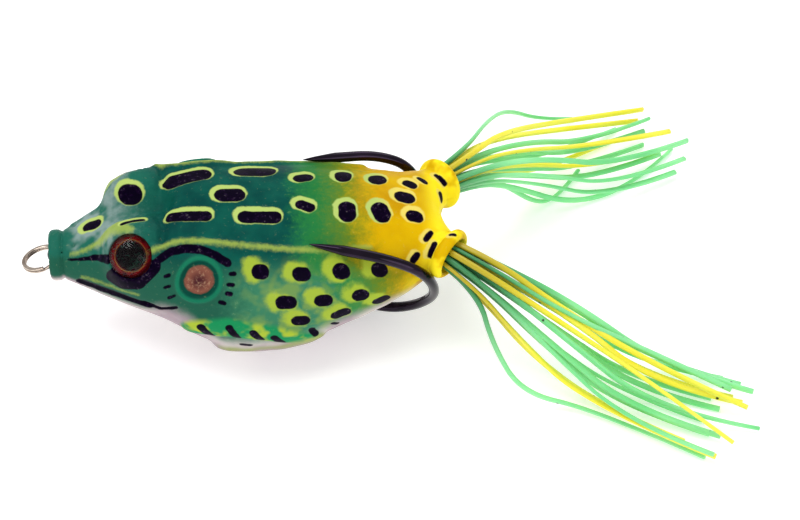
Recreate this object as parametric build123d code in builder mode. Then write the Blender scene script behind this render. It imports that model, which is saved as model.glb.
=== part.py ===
from build123d import *
import math
import os

# A hollow soft-bodied topwater frog. Millimetres, +X from nose to tail, +Z up, and the frog's
# left side towards -Y. The origin is under the middle of the lure, on the surface it rests on.

# driving dimensions
nose_x = -25.92            # front face of the nose cup
body_height = 12.9         # height of the nose cup's centre line
wall = 1.3                 # soft shell
wire = 1.4                 # hook wire diameter
cup_radius = 3.45          # nose cup, outside
cup_bore = 2.7
cup_depth = 3.8
cup_length = 2.3
cup_lip = 0.33
shank_hole = 1.75
eye_loop_x = nose_x + 1.75  # centre of the hook's eye
eye_loop_radius = 1.3      # to the middle of its wire
eye_loop_wire = 1.1
ring_radius = 2.45         # line ring, to the middle of its coils
ring_width = 0.5
ring_height = 0.6
ring_split = 0.06          # gap between its two coils
ring_droop = 12            # degrees below level at rest
ring_roll = 8
ring_pivot_x = nose_x + 1.55
bump_radius = 4.2          # eye bump
bump_centre = (nose_x + 11.85, 4.95, 16.95)
eye_direction = (-0.12, 0.72, 0.68)
eye_radius = 2.85
eye_seat = 2.75            # from the bump's centre to the floor of the eye's seat
disc_thickness = 0.3
dome_height = 1.25
seat_clearance = 0.08
socket_mouth = (27.5, 7.3, 15.7)
socket_out = 40            # degrees outwards from the tail
socket_down = 7
socket_radius = 3.0
socket_bore = 2.4
socket_length = 6.0
socket_bore_depth = 8.5
socket_flare = 0.4
strand_diameter = 0.8
band_radius = 2.15
band_length = 2.4
band_edge = 0.3
root_depth = 1.6           # from the socket's mouth in to the roots of the strands
strand_reach = 5.2         # from the socket's mouth out to each strand's second point
strand_spread = 1.5

# distance behind the nose, half width, half height and height of the centre of each section
body_sections = [
    (1.9, 3.15, 3.1, 12.9),
    (4.2, 4.5, 4.0, 12.95),
    (7.0, 6.5, 5.1, 13.3),
    (11.0, 9.0, 6.7, 13.7),
    (15.0, 10.8, 8.1, 13.5),
    (19.0, 12.3, 9.9, 12.5),
    (23.0, 13.2, 11.2, 11.3),
    (28.0, 13.4, 11.25, 11.0),
    (33.0, 12.9, 11.0, 11.05),
    (38.0, 11.7, 9.9, 11.9),
    (43.0, 10.3, 8.7, 12.7),
    (47.0, 8.9, 7.3, 13.5),
    (50.0, 7.2, 5.6, 14.4),
    (51.8, 5.4, 3.8, 15.0),
]
cavity_start = 7.0
cavity_end = 47.0
slot_start = 34.5          # slot in the rear belly where the hook comes out
slot_end = 43.0
slot_width = 4.4
slot_top = 6.0

# left wire of the hook from its eye, the right one mirrors it
hook_points = [
    (-22.9, -0.72, 12.9),
    (-17.3, -0.72, 12.7),
    (10.6, -0.75, 3.7),
    (15.4, -1.3, 2.2),
    (19.4, -3.1, 2.3),
    (23.3, -5.4, 5.2),
    (25.3, -8.2, 10.2),
    (23.4, -10.2, 16.0),
    (18.6, -10.0, 18.7),
    (12.9, -8.9, 19.6),
]
point_length = 4.5
point_tip = 0.05

weight_radius = 2.9
weight_length = 15.0
weight_middle = (0.6, 0, 6.92)

# each strand's place in the root bundle, outwards and up, then the points of its route
left_green = [
    ((-0.84, -1.46), (40.6, -13.9, 7.8), (50.6, -17.2, 0.8), (60.5, -21.2, 0.5)),
    ((0.00, -1.46), (39.0, -14.6, 6.6), (48.6, -19.2, 0.7), (58.8, -24.9, 0.5)),
    ((-1.26, -0.73), (41.4, -12.7, 9.2), (52.2, -14.6, 1.0), (62.6, -17.8, 0.5)),
    ((-0.42, -0.73), (40.2, -14.6, 8.8), (50.8, -19.2, 0.8), (61.3, -23.1, 0.5)),
    ((0.42, -0.73), (38.6, -16.2, 7.4), (48.2, -21.6, 0.7), (59.2, -27.3, 0.5)),
    ((1.26, -0.73), (34.4, -15.6, 6.6), (40.0, -20.4, 0.8), (47.6, -25.2, 0.5), (55.2, -29.8, 0.5)),
    ((-1.68, 0.00), (42.0, -12.3, 10.8), (53.6, -15.6, 2.2), (64.6, -19.8, 1.4)),
    ((0.84, 0.00), (39.2, -17.2, 9.0), (49.2, -23.1, 1.6), (60.4, -28.5, 1.4)),
    ((-1.26, 0.73), (42.8, -13.4, 12.0), (54.4, -17.2, 3.2), (65.8, -22.0, 2.3)),
    ((0.42, 0.73), (40.8, -17.3, 11.0), (51.4, -23.1, 2.6), (63.0, -27.8, 2.2)),
    ((1.26, 0.73), (38.6, -18.9, 9.8), (48.2, -26.0, 2.6), (58.8, -32.2, 2.2)),
    ((0.00, 1.46), (42.2, -16.8, 12.4), (53.8, -21.7, 3.9), (66.0, -26.8, 3.1)),
]
left_yellow = [
    ((0.84, -1.46), (36.8, -15.8, 5.4), (46.0, -21.8, 0.7), (55.8, -28.2, 0.5)),
    ((-0.84, 0.00), (41.6, -14.0, 10.4), (52.4, -18.0, 1.8), (63.2, -21.9, 1.4)),
    ((1.68, 0.00), (36.6, -17.7, 8.2), (46.0, -25.2, 1.6), (56.4, -31.8, 1.4)),
    ((-0.42, 0.73), (42.0, -15.4, 11.6), (52.8, -20.2, 2.9), (64.0, -23.8, 2.3)),
    ((-0.84, 1.46), (43.0, -14.8, 12.8), (55.0, -18.9, 4.2), (66.2, -24.2, 3.2)),
    ((0.84, 1.46), (40.8, -18.7, 11.8), (51.4, -24.7, 3.6), (62.4, -29.8, 3.1)),
]
right_green = [
    ((-0.84, -1.46), (38.2, 14.2, 6.4), (46.4, 17.6, 0.6), (54.4, 19.2, 0.5), (60.8, 23.8, 0.5)),
    ((0.00, -1.46), (37.0, 15.8, 5.6), (43.2, 18.6, 0.6), (48.8, 22.8, 0.5)),
    ((-1.26, -0.73), (41.0, 12.6, 9.4), (52.0, 16.8, 1.8), (62.6, 21.8, 1.4)),
    ((-0.42, -0.73), (39.8, 14.9, 8.8), (50.4, 20.8, 1.8), (61.0, 25.8, 1.4)),
    ((0.42, -0.73), (38.8, 16.9, 8.4), (48.6, 23.4, 1.6), (59.0, 28.8, 0.6)),
    ((1.26, -0.73), (37.0, 18.6, 8.8), (45.6, 26.4, 2.0), (55.4, 32.6, 0.6)),
    ((-1.68, 0.00), (41.8, 12.4, 11.2), (53.2, 17.9, 3.0), (64.2, 23.6, 2.3)),
    ((0.84, 0.00), (39.2, 18.2, 10.4), (48.6, 25.2, 2.8), (59.4, 30.8, 1.5)),
    ((-1.26, 0.73), (42.2, 14.2, 12.6), (53.6, 20.8, 4.2), (65.0, 26.4, 3.2)),
    ((0.42, 0.73), (40.2, 18.7, 11.8), (50.0, 26.0, 4.2), (60.2, 31.8, 3.0)),
    ((0.84, 1.46), (37.2, 20.8, 12.8), (43.2, 29.4, 6.0), (50.8, 36.2, 0.8)),
]
right_yellow = [
    ((0.84, -1.46), (36.8, 17.6, 6.8), (45.2, 25.0, 0.8), (54.2, 30.0, 0.5)),
    ((-0.84, 0.00), (41.0, 14.6, 10.8), (51.8, 20.8, 3.0), (62.2, 26.4, 2.3)),
    ((-0.42, 0.73), (41.2, 16.7, 12.2), (51.8, 23.6, 4.0), (62.6, 29.2, 3.1)),
    ((1.26, 0.73), (38.4, 20.2, 11.6), (48.2, 28.3, 3.8), (58.8, 34.4, 0.8)),
    ((0.00, 1.46), (40.8, 18.3, 13.6), (50.6, 26.4, 5.4), (60.6, 33.2, 4.0)),
]

os.makedirs("parts", exist_ok=True)


def save(part, name):
    part.label = name
    export_step(part, f"parts/{name}.step")


def section_plane(behind_nose, centre):
    return Plane(origin=(nose_x + behind_nose, 0, centre), x_dir=(0, 1, 0), z_dir=(1, 0, 0))


def bump_plane(side, distance):
    """A plane across the eye's axis, at a distance from the middle of the eye bump."""
    direction = Vector(eye_direction[0], side * eye_direction[1], eye_direction[2]).normalized()
    centre = Vector(bump_centre[0], side * bump_centre[1], bump_centre[2])
    return Plane(origin=centre + direction * distance, x_dir=(1, 0, 0.18), z_dir=direction)


def socket_axes(side):
    """The leg socket's mouth, its outward axis, and the two directions across it."""
    out = math.radians(socket_out)
    down = math.radians(socket_down)
    mouth = Vector(socket_mouth[0], side * socket_mouth[1], socket_mouth[2])
    axis = Vector(math.cos(out) * math.cos(down), side * math.sin(out) * math.cos(down), -math.sin(down))
    across = Vector(-math.sin(out), side * math.cos(out), 0)
    up = axis.cross(across) * side
    return mouth, axis, across, up


def socket_plane(side, distance):
    mouth, axis, across, up = socket_axes(side)
    return Plane(origin=mouth + axis * distance, x_dir=across, z_dir=axis)


def rounded_path(points):
    """Straight runs joined by the largest tangent arcs that they allow, with the arcs' radii."""
    corners = [Vector(*point) for point in points]
    radii = []
    for before, corner, after in zip(corners, corners[1:], corners[2:]):
        run_in = corner - before
        run_out = after - corner
        turn = math.radians(run_in.get_angle(run_out))
        radii.append(0.45 * min(run_in.length, run_out.length) / math.tan(turn / 2))
    return FilletPolyline(*corners, radius=radii), radii


def strand_points(side, route):
    slot, *rest = route
    mouth, axis, across, up = socket_axes(side)
    offset = across * slot[0] + up * slot[1]
    root = mouth - axis * root_depth + offset
    second = mouth + axis * strand_reach + offset * strand_spread
    return [root, second] + [Vector(*point) for point in rest]


# hook: twin shanks joined at the eye, two bends, and points that lie along the back
with BuildPart() as left_wire:
    with BuildLine():
        wire_path, wire_radii = rounded_path(hook_points)
    with BuildSketch(Plane(origin=wire_path @ 0, z_dir=wire_path % 0)):
        Circle(wire / 2)
    sweep()
    wire_end = wire_path @ 1
    end_direction = wire_path % 1
    with BuildSketch(Plane(origin=wire_end, z_dir=end_direction)):
        Circle(wire / 2)
    with BuildSketch(Plane(origin=wire_end + end_direction * point_length, z_dir=end_direction)):
        Circle(point_tip)
    loft()

with BuildPart() as double_hook:
    add(left_wire.part)
    mirror(about=Plane.XZ)
    with Locations((eye_loop_x, 0, body_height)):
        Torus(eye_loop_radius, eye_loop_wire / 2, rotation=(90, 0, 0))
save(double_hook.part, "double_hook")

# lead cast round both shanks, low in the hollow body
shank_rise = Vector(*hook_points[1]) - Vector(*hook_points[2])
shank_direction = Vector(shank_rise.X, 0, shank_rise.Z).normalized()
with BuildPart() as belly_weight:
    with BuildSketch(Plane(origin=weight_middle, x_dir=(0, 1, 0), z_dir=shank_direction)):
        Circle(weight_radius)
    extrude(amount=weight_length / 2, both=True)
    fillet(belly_weight.edges().filter_by(GeomType.CIRCLE), radius=weight_radius * 0.7)
    add(double_hook.part, mode=Mode.SUBTRACT)
save(belly_weight.part, "belly_weight")

# body: a lofted shell with a nose cup, two eye bumps and two leg sockets
with BuildPart() as frog_body:
    for behind_nose, half_width, half_height, centre in body_sections:
        with BuildSketch(section_plane(behind_nose, centre)):
            Ellipse(half_width, half_height)
    loft()
    with BuildSketch(section_plane(0, body_height)):
        Circle(cup_radius)
    extrude(amount=cup_length)
    for side in (-1, 1):
        with Locations((bump_centre[0], side * bump_centre[1], bump_centre[2])):
            Sphere(bump_radius)
        with BuildSketch(socket_plane(side, 0)):
            Circle(socket_radius)
        extrude(amount=-socket_length)
    for behind_nose, half_width, half_height, centre in body_sections:
        if cavity_start <= behind_nose <= cavity_end:
            with BuildSketch(section_plane(behind_nose, centre)):
                Ellipse(half_width - wall, half_height - wall)
    loft(mode=Mode.SUBTRACT)
    with BuildSketch(section_plane(0, body_height)):
        Circle(cup_bore)
    extrude(amount=cup_depth, mode=Mode.SUBTRACT)
    fillet(frog_body.edges().filter_by(GeomType.CIRCLE).group_by(Axis.X)[0], radius=cup_lip)
    with BuildSketch(section_plane(0, body_height)):
        Circle(shank_hole)
    extrude(amount=cavity_start + 2, mode=Mode.SUBTRACT)
    with BuildSketch(Plane.XY):
        with Locations((nose_x + (slot_start + slot_end) / 2, 0)):
            SlotOverall(slot_end - slot_start, slot_width)
    extrude(amount=slot_top, mode=Mode.SUBTRACT)
    for side in (-1, 1):
        with BuildSketch(bump_plane(side, eye_seat)):
            Circle(eye_radius + seat_clearance)
        extrude(amount=bump_radius, mode=Mode.SUBTRACT)
        with BuildSketch(socket_plane(side, 0)):
            Circle(socket_bore)
        extrude(amount=-socket_bore_depth, mode=Mode.SUBTRACT)
        with BuildSketch(socket_plane(side, 0)):
            Circle(socket_bore + socket_flare)
        with BuildSketch(socket_plane(side, -root_depth)):
            Circle(socket_bore)
        loft(mode=Mode.SUBTRACT)
    split(bisect_by=Plane.XY, keep=Keep.TOP)
save(frog_body.part, "frog_body")

# line ring: two coils threaded through the hook's eye, drooping onto the lip of the cup
droop = math.radians(ring_droop)
roll = math.radians(ring_roll)
ring_forward = Vector(-math.cos(droop), 0, -math.sin(droop))
ring_up = Vector(-math.sin(droop), 0, math.cos(droop))
ring_normal = ring_up * math.cos(roll) + Vector(0, math.sin(roll), 0)
ring_centre = Vector(ring_pivot_x, 0, body_height) + ring_forward * ring_radius
ring_level = Plane(origin=ring_centre, x_dir=ring_forward, z_dir=ring_normal)
with BuildPart() as line_ring:
    with BuildSketch(ring_level):
        Circle(ring_radius + ring_width / 2)
        Circle(ring_radius - ring_width / 2, mode=Mode.SUBTRACT)
    extrude(amount=ring_height / 2, both=True)
    fillet(line_ring.edges(), radius=ring_width / 5)
    with BuildSketch(ring_level):
        Circle(ring_radius + ring_width)
        Circle(ring_radius + ring_width / 4, mode=Mode.SUBTRACT)
    extrude(amount=ring_split / 2, both=True, mode=Mode.SUBTRACT)
save(line_ring.part, "line_ring")

# eyes and skirt bands
for side, side_name in ((-1, "left"), (1, "right")):
    with BuildPart() as eye_disc:
        with BuildSketch(bump_plane(side, eye_seat)):
            Circle(eye_radius)
        extrude(amount=disc_thickness)
    save(eye_disc.part, f"{side_name}_eye_disc")

    dome_base = eye_seat + disc_thickness
    dome_sphere = (eye_radius ** 2 + dome_height ** 2) / (2 * dome_height)
    with BuildPart() as eye_dome:
        with Locations(bump_plane(side, dome_base + dome_height - dome_sphere)):
            Sphere(dome_sphere)
        split(bisect_by=bump_plane(side, dome_base), keep=Keep.TOP)
    save(eye_dome.part, f"{side_name}_eye_dome")

    with BuildPart() as skirt_band:
        with BuildSketch(socket_plane(side, -root_depth)):
            Circle(band_radius)
        extrude(amount=-band_length)
        fillet(skirt_band.edges().filter_by(GeomType.CIRCLE), radius=band_edge)
    save(skirt_band.part, f"{side_name}_skirt_band")

# skirt strands
skirts = (
    ("left_green", -1, left_green),
    ("left_yellow", -1, left_yellow),
    ("right_green", 1, right_green),
    ("right_yellow", 1, right_yellow),
)
for skirt_name, side, routes in skirts:
    for number, route in enumerate(routes, 1):
        with BuildPart() as strand:
            with BuildLine():
                path, radii = rounded_path(strand_points(side, route))
            with BuildSketch(Plane(origin=path @ 0, z_dir=path % 0)):
                Circle(strand_diameter / 2)
            sweep()
        strand_name = f"{skirt_name}_strand_{number}"
        save(strand.part, strand_name)
        tube = math.pi * strand_diameter ** 2 / 4 * path.length
        print(strand_name, f"length {path.length:.1f}", f"volume {strand.part.volume / tube:.3f} of its tube",
              "radii", [round(radius, 1) for radius in radii])
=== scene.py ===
import math

import bpy
import numpy as np
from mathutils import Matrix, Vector


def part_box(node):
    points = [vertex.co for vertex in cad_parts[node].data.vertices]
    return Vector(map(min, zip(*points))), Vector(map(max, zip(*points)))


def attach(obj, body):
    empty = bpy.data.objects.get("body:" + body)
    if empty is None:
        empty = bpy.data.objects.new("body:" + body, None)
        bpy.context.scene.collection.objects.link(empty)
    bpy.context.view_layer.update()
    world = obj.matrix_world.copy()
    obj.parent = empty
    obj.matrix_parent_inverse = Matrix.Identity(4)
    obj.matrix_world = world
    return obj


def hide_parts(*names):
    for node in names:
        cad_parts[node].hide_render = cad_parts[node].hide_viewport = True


# A hollow soft-bodied topwater frog. Shapes are worked out in millimetres and put into the meshes in
# metres. +X runs from nose to tail, +Z is up and the frog's left side is towards -Y.

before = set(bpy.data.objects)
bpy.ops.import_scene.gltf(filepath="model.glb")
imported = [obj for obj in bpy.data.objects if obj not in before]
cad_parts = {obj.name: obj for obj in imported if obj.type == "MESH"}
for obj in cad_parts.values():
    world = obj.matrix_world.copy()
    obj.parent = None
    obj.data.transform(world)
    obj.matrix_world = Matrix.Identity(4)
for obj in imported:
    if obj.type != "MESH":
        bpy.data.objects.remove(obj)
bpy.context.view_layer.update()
mm = 0.001
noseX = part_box("frog_body")[0].x / mm      # front of the nose cup
cupHeight = 12.9                           # height of the nose cup's centre line
print("frame loaded, nose at", round(noseX, 2))



def addObject(name, data):
    made = bpy.data.objects.new(name, data)
    bpy.context.scene.collection.objects.link(made)
    return made


# ---- camera

cameraSettings = {
    "lookAt": (20.79, -2.04, 10.43),
    "azimuth": -4.5,
    "elevation": 45,
    "distance": 320,
    "lens": 107.5,
    "sensor": 36,
    "nearest": 0.01,          # metres
}


def makeCamera(settings):
    azimuth = math.radians(settings["azimuth"])
    elevation = math.radians(settings["elevation"])
    back = Vector((
        math.sin(azimuth) * math.cos(elevation),
        -math.cos(azimuth) * math.cos(elevation),
        math.sin(elevation),
    ))
    data = bpy.data.cameras.new("camera")
    data.lens = settings["lens"]
    data.sensor_width = settings["sensor"]
    data.clip_start = settings["nearest"]
    camera = addObject("camera", data)
    camera.location = (Vector(settings["lookAt"]) + back * settings["distance"]) * mm
    camera.rotation_euler = back.to_track_quat("Z", "Y").to_euler()
    bpy.context.scene.camera = camera


makeCamera(cameraSettings)

# ---- helpers for meshes


def unit(vectors):
    return vectors / np.linalg.norm(vectors, axis=-1, keepdims=True)


def makeMesh(name, points, faceGroups, attributes=None):
    # points in millimetres, faceGroups a list of index arrays; a closed shell whose signed volume comes
    # out negative is turned the right way out
    triangles = [faces[:, :3] for faces in faceGroups]
    triangles += [faces[:, [0, 2, 3]] for faces in faceGroups if faces.shape[1] == 4]
    corners = points[np.concatenate(triangles)]
    volume = np.einsum("ij,ij->", corners[:, 0], np.cross(corners[:, 1], corners[:, 2]))
    if volume < 0:
        faceGroups = [faces[:, ::-1] for faces in faceGroups]
    mesh = bpy.data.meshes.new(name)
    mesh.from_pydata((points * mm).tolist(), [], [face for faces in faceGroups for face in faces.tolist()])
    mesh.polygons.foreach_set("use_smooth", np.ones(len(mesh.polygons), bool))
    for label, values in (attributes or {}).items():
        layer = mesh.attributes.new(label, "FLOAT", "POINT")
        layer.data.foreach_set("value", values.astype(np.float32))
    mesh.update()
    return addObject(name, mesh)


def skin(rings, closedPath=False):
    # quads between each ring and the next; the two ends get a fan to the middle of their ring
    stations, around, _ = rings.shape
    row = np.arange(stations if closedPath else stations - 1)[:, None]
    column = np.arange(around)[None, :]
    nextRow = (row + 1) % stations
    nextColumn = (column + 1) % around
    quads = np.stack([
        row * around + column,
        row * around + nextColumn,
        nextRow * around + nextColumn,
        nextRow * around + column,
    ], -1).reshape(-1, 4)
    points = rings.reshape(-1, 3)
    if closedPath:
        return points, [quads]
    points = np.concatenate([points, rings[:1].mean(1), rings[-1:].mean(1)])
    rim = np.arange(around)
    turn = (rim + 1) % around
    startFan = np.stack([turn, rim, np.full(around, stations * around)], 1)
    endRim = (stations - 1) * around
    endFan = np.stack([endRim + rim, endRim + turn, np.full(around, stations * around + 1)], 1)
    return points, [quads, np.concatenate([startFan, endFan])]


def joined(shells):
    # several shells as the points and faces of one piece
    allPoints = []
    allFaces = []
    count = 0
    for points, faceGroups in shells:
        allPoints.append(points)
        allFaces += [faces + count for faces in faceGroups]
        count += len(points)
    return np.concatenate(allPoints), allFaces


def carried(path, across, up, outline, scale):
    # an outline (n, 2) carried along a path: each point is path + across * u * scale + up * v * scale
    u = outline[None, :, :1] * scale[:, None, None]
    v = outline[None, :, 1:] * scale[:, None, None]
    return path[:, None, :] + across[:, None, :] * u + up[:, None, :] * v


def frameAlong(path, reference):
    # tangent, and the two directions across it, the second as near the reference as it can be
    tangent = unit(np.gradient(path, axis=0))
    across = unit(np.cross(np.broadcast_to(reference, tangent.shape), tangent))
    return tangent, across, np.cross(tangent, across)


def squareRound(count, power, width=1.0, height=1.0):
    # superellipse: |u|^power + |v|^power = 1
    angle = np.linspace(0, 2 * math.pi, count, endpoint=False)
    c, s = np.cos(angle), np.sin(angle)
    return np.stack([
        np.sign(c) * np.abs(c) ** (2 / power) * width,
        np.sign(s) * np.abs(s) ** (2 / power) * height,
    ], 1)


# ---- helpers for materials


class Paint:
    # a material's node tree with short calls for what the materials here need

    def __init__(self, name, **values):
        self.material = bpy.data.materials.new(name)
        self.material.use_nodes = True
        self.tree = self.material.node_tree
        self.shader = self.tree.nodes["Principled BSDF"]
        for socket, value in values.items():
            self.shader.inputs[socket.replace("_", " ")].default_value = value
        self.place = self.node("ShaderNodeTexCoord").outputs["Object"]

    def node(self, kind, settings=None, sockets=None):
        made = self.tree.nodes.new(kind)
        for key, value in (settings or {}).items():
            setattr(made, key, value)
        for key, value in (sockets or {}).items():
            self.feed(made.inputs[key], value)
        return made

    def feed(self, socket, value):
        if isinstance(value, bpy.types.NodeSocket):
            self.tree.links.new(value, socket)
        else:
            socket.default_value = value

    def math(self, operation, first, second=0.0, third=0.0):
        sockets = {0: first, 1: second, 2: third}
        return self.node("ShaderNodeMath", {"operation": operation}, sockets).outputs[0]

    def total(self, first, *others):
        for value in others:
            first = self.math("ADD", first, value)
        return first

    def product(self, first, *others):
        for value in others:
            first = self.math("MULTIPLY", first, value)
        return first

    def vector(self, operation, first, second=(0, 0, 0)):
        made = self.node("ShaderNodeVectorMath", {"operation": operation}, {0: first, 1: second})
        return made.outputs["Value" if operation in ("LENGTH", "DOT_PRODUCT") else "Vector"]

    def mix(self, factor, first, second):
        sockets = {0: factor, 6: first, 7: second}
        return self.node("ShaderNodeMix", {"data_type": "RGBA"}, sockets).outputs[2]

    def step(self, value, start, end):
        # 0 up to start and 1 from end, with an even S between
        rising = start < end
        return self.node("ShaderNodeMapRange", {"interpolation_type": "SMOOTHSTEP"}, {
            0: value, 1: min(start, end), 2: max(start, end), 3: float(not rising), 4: float(rising),
        }).outputs[0]

    def noise(self, scale, detail=2.0, roughness=0.5):
        return self.node("ShaderNodeTexNoise", None, {
            "Vector": self.place, "Scale": scale, "Detail": detail, "Roughness": roughness,
        }).outputs[0]

    def attribute(self, label):
        return self.node("ShaderNodeAttribute", {"attribute_name": label}).outputs["Fac"]

    def bump(self, height, strength, distance):
        # distance in millimetres
        made = self.node("ShaderNodeBump", None, {
            "Height": height, "Strength": strength, "Distance": distance * mm})
        self.feed(self.shader.inputs["Normal"], made.outputs[0])

    def colour(self, value):
        self.feed(self.shader.inputs["Base Color"], value)

    def roughness(self, pattern, span, least):
        self.feed(self.shader.inputs["Roughness"], self.math("MULTIPLY_ADD", pattern, span, least))

    def spread(self, pattern, amount):
        # a pattern from 0 to 1, as a shift of up to half the amount each way
        return self.math("MULTIPLY_ADD", pattern, amount, -amount / 2)

    def layer(self, under, value, start, end, over, strength=None):
        # one colour over another: nothing of it at start, and all of it, or its strength, at end
        amount = self.step(value, start, end)
        return self.mix(amount if strength is None else self.product(amount, strength), under, over)


def colour(red, green, blue):
    # screen values from 0 to 255, as the linear colour that a socket takes
    return tuple((channel / 255) ** 2.2 for channel in (red, green, blue)) + (1.0,)


def plainMaterial(name, tones, pattern, blend, rough, dent, **values):
    # two tones mixed by one pattern of noise, with a second one in the roughness and a third in the bump
    paint = Paint(name, **values)
    amount = paint.noise(*pattern)
    if blend:
        amount = paint.step(amount, *blend)
    paint.colour(paint.mix(amount, *[colour(*tone) for tone in tones]))
    paint.roughness(paint.noise(*rough[0]), *rough[1:])
    paint.bump(paint.noise(*dent[0]), *dent[1:])
    return paint.material


def finish(piece, material):
    piece.data.materials.clear()
    piece.data.materials.append(material)


# ---- skirts: each strand of a skirt is one soft silicone strip

skirtSettings = {
    "diameter": 0.8,
    "socketMouth": (27.5, 7.3, 15.7),
    "socketOut": 40,          # degrees outwards from the tail
    "socketDown": 7,
    "rootDepth": 1.6,         # from the socket's mouth in to the roots
    "reach": 5.2,             # from the mouth out to each strand's second point
    "spread": 1.5,
    "corners": 10,            # points round a strand
    "squareness": 3.0,
    "flatness": 0.66,         # thickness over width
    "turn": 0.03,             # of the strip about its line, radians in each millimetre
    "firstTurn": 0.7,         # from one strip to the next
    "endEdge": 0.05,
    "endScale": 0.8,
    "rootShade": 3,           # millimetres by which the right skirt's dark roots are shorter
    "curveSteps": 14,
    "curveOrder": 3,
}

# each strand's place in the root bundle, outwards and up, then the points of its route
leftGreen = [
    ((-0.84, -1.46), (40.6, -13.9, 7.8), (50.6, -17.2, 0.8), (60.5, -21.2, 0.5)),
    ((0.00, -1.46), (39.0, -14.6, 6.6), (48.6, -19.2, 0.7), (58.8, -24.9, 0.5)),
    ((-1.26, -0.73), (41.4, -12.7, 9.2), (52.2, -14.6, 1.0), (62.6, -17.8, 0.5)),
    ((-0.42, -0.73), (40.2, -14.6, 8.8), (50.8, -19.2, 0.8), (61.3, -23.1, 0.5)),
    ((0.42, -0.73), (38.6, -16.2, 7.4), (48.2, -21.6, 0.7), (59.2, -27.3, 0.5)),
    ((1.26, -0.73), (31.8, -16.2, 8.0), (35.4, -20.2, 2.6), (44.6, -21.8, 0.6), (58.0, -31.2, 0.5)),
    ((-1.68, 0.00), (42.0, -12.3, 10.8), (53.6, -15.6, 2.2), (64.6, -19.8, 1.4)),
    ((0.84, 0.00), (39.2, -17.2, 9.0), (49.2, -23.1, 1.6), (60.4, -28.5, 1.4)),
    ((-1.26, 0.73), (42.8, -13.4, 12.0), (54.4, -17.2, 3.2), (65.8, -22.0, 2.3)),
    ((0.42, 0.73), (40.4, -17.5, 10.8), (52.2, -24.4, 2.6), (65.8, -27.2, 0.9)),
    ((1.26, 0.73), (38.6, -18.9, 9.8), (48.2, -26.0, 2.6), (58.8, -32.2, 2.2)),
    ((0.00, 1.46), (41.2, -15.2, 12.2), (53.6, -17.4, 5.4), (62.8, -22.0, 3.0)),
]
leftYellow = [
    ((0.84, -1.46), (36.8, -15.8, 5.4), (46.0, -21.8, 0.7), (55.8, -28.2, 0.5)),
    ((-0.84, 0.00), (41.6, -14.0, 10.4), (52.4, -18.0, 1.8), (63.2, -21.9, 1.4)),
    ((1.68, 0.00), (34.8, -15.2, 8.8), (43.4, -23.0, 3.0), (59.2, -31.9, 1.4)),
    ((-0.42, 0.73), (42.0, -15.4, 11.6), (52.8, -20.2, 2.9), (64.0, -23.8, 2.3)),
    ((-0.84, 1.46), (40.0, -14.0, 12.8), (52.8, -19.0, 5.2), (64.4, -25.2, 2.9)),
    ((0.84, 1.46), (38.8, -15.4, 12.6), (51.0, -22.4, 6.8), (61.5, -31.0, 2.9)),
]
rightGreen = [
    ((-0.84, -1.46), (37.8, 14.8, 7.0), (47.0, 16.8, 0.7), (56.6, 20.6, 0.5), (63.0, 27.6, 0.5)),
    ((0.00, -1.46), (36.4, 16.2, 6.6), (42.2, 17.2, 0.6), (45.8, 19.6, 0.5), (48.8, 24.2, 0.5)),
    ((-1.26, -0.73), (41.0, 12.6, 9.4), (52.0, 16.8, 1.8), (62.6, 21.8, 1.4)),
    ((-0.42, -0.73), (39.8, 14.9, 8.8), (50.4, 20.8, 1.8), (61.0, 25.8, 1.4)),
    ((0.42, -0.73), (38.8, 16.9, 8.4), (48.6, 23.4, 1.6), (59.0, 28.8, 0.6)),
    ((1.26, -0.73), (37.0, 18.6, 8.8), (45.6, 26.4, 2.0), (55.4, 32.6, 0.6)),
    ((-1.68, 0.00), (41.8, 12.4, 11.2), (53.2, 17.9, 3.0), (64.2, 23.6, 2.3)),
    ((0.84, 0.00), (39.2, 18.2, 10.4), (48.6, 25.2, 2.8), (59.4, 30.8, 1.5)),
    ((-1.26, 0.73), (42.2, 14.2, 12.6), (53.6, 20.8, 4.2), (65.0, 26.4, 3.2)),
    ((0.42, 0.73), (40.2, 18.7, 11.8), (50.0, 26.0, 4.2), (60.2, 31.8, 3.0)),
    ((0.84, 1.46), (34.9, 22.0, 13.0), (38.6, 29.2, 8.6), (44.0, 32.2, 3.6), (49.2, 35.2, 0.8)),
]
rightYellow = [
    ((0.84, -1.46), (36.8, 17.6, 6.8), (45.2, 25.0, 0.8), (54.2, 30.0, 0.5)),
    ((-0.84, 0.00), (39.2, 15.0, 11.0), (50.8, 21.4, 3.4), (60.6, 25.6, 2.3)),
    ((-0.42, 0.73), (38.4, 16.2, 12.5), (50.8, 24.6, 4.8), (62.8, 28.8, 3.0)),
    ((1.26, 0.73), (36.2, 18.8, 12.6), (45.8, 27.8, 5.4), (58.7, 32.8, 1.8)),
    ((0.00, 1.46), (36.6, 18.0, 14.4), (46.8, 27.4, 7.4), (59.4, 33.2, 3.6)),
]


def socketAxes(side):
    # the leg socket's mouth, its outward axis, and the two directions across it
    sizes = skirtSettings
    out = math.radians(sizes["socketOut"])
    down = math.radians(sizes["socketDown"])
    x, y, z = sizes["socketMouth"]
    mouth = np.array((x, side * y, z))
    level = math.cos(down)
    axis = np.array((math.cos(out) * level, side * math.sin(out) * level, -math.sin(down)))
    across = np.array((-math.sin(out), side * math.cos(out), 0))
    return mouth, axis, across, np.cross(axis, across) * side


def strandRoute(side, route):
    slot, *rest = route
    mouth, axis, across, up = socketAxes(side)
    offset = across * slot[0] + up * slot[1]
    root = mouth - axis * skirtSettings["rootDepth"] + offset
    second = mouth + axis * skirtSettings["reach"] + offset * skirtSettings["spread"]
    return [root, second] + [np.array(point) for point in rest]


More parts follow.
